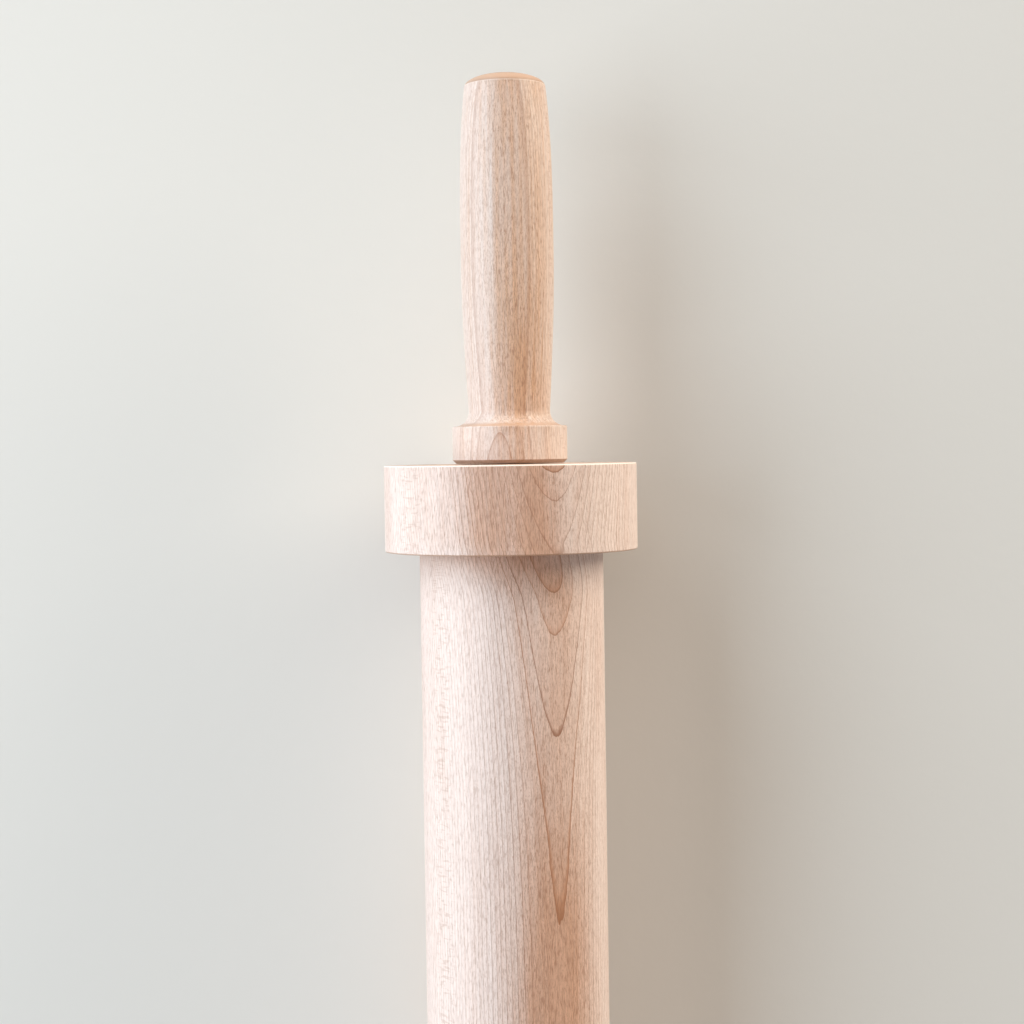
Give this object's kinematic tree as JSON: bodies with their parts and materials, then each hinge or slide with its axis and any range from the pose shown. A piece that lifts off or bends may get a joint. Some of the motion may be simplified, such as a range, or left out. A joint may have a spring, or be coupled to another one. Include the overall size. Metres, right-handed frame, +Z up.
{
  "type": "rolling pin",
  "caption": "Turned maple rolling pin whose barrel has raised ends that set the dough's depth, and runs on ball bearings between fixed handles.",
  "frame": {"origin": "on the table under the middle of the pin, which lies on its two raised ends", "axes": "+X along the pin's axis, +Z up from the table, +Y across the pin"},
  "size_m": [0.5162, 0.0698, 0.0698],
  "materials": {
    "maple_barrel": "turned and sanded smooth, oiled to a satin sheen",
    "maple_handle": "turned and sanded smooth, oiled to a satin sheen",
    "steel": "ground bright steel rod",
    "spring_steel": "oiled spring steel",
    "bearing_steel": "ground bearing steel",
    "ball_steel": "polished steel balls",
    "sheet_steel": "pressed sheet steel",
    "brass": "plain turned brass",
    "acetal": "turned acetal"
  },
  "bodies": {
    "handles": {"spindle": "steel", "right_handle": "maple_handle", "left_handle": "maple_handle", "right_handle_insert": "brass", "left_handle_insert": "brass", "right_spacer": "acetal", "left_spacer": "acetal", "right_retaining_ring": "spring_steel", "left_retaining_ring": "spring_steel", "right_bearing_inner_race": "bearing_steel", "left_bearing_inner_race": "bearing_steel"},
    "barrel": {"barrel": "maple_barrel", "right_bearing_outer_race": "bearing_steel", "left_bearing_outer_race": "bearing_steel", "right_bearing_outboard_shield": "sheet_steel", "left_bearing_outboard_shield": "sheet_steel", "right_bearing_inboard_shield": "sheet_steel", "left_bearing_inboard_shield": "sheet_steel"},
    "right_ball_set": {"right_bearing_balls": "ball_steel", "right_bearing_outboard_cage": "sheet_steel", "right_bearing_inboard_cage": "sheet_steel", "right_bearing_rivets": "sheet_steel"},
    "left_ball_set": {"left_bearing_balls": "ball_steel", "left_bearing_outboard_cage": "sheet_steel", "left_bearing_inboard_cage": "sheet_steel", "left_bearing_rivets": "sheet_steel"}
  },
  "joints": [
    {"name": "barrel_spin", "type": "hinge", "parent": "handles", "child": "barrel", "pos_m": [0, 0, 0.03492], "axis": [1, 0, 0], "continuous": true},
    {"name": "right_cage_spin", "type": "hinge", "parent": "handles", "child": "right_ball_set", "pos_m": [0.14483, 0, 0.03492], "axis": [1, 0, 0], "continuous": true},
    {"name": "left_cage_spin", "type": "hinge", "parent": "handles", "child": "left_ball_set", "pos_m": [-0.14483, 0, 0.03492], "axis": [1, 0, 0], "continuous": true}
  ],
  "couplings": [
    {"joint": "right_cage_spin", "follows": "barrel_spin", "ratio": 0.625},
    {"joint": "left_cage_spin", "follows": "barrel_spin", "ratio": 0.625}
  ]
}
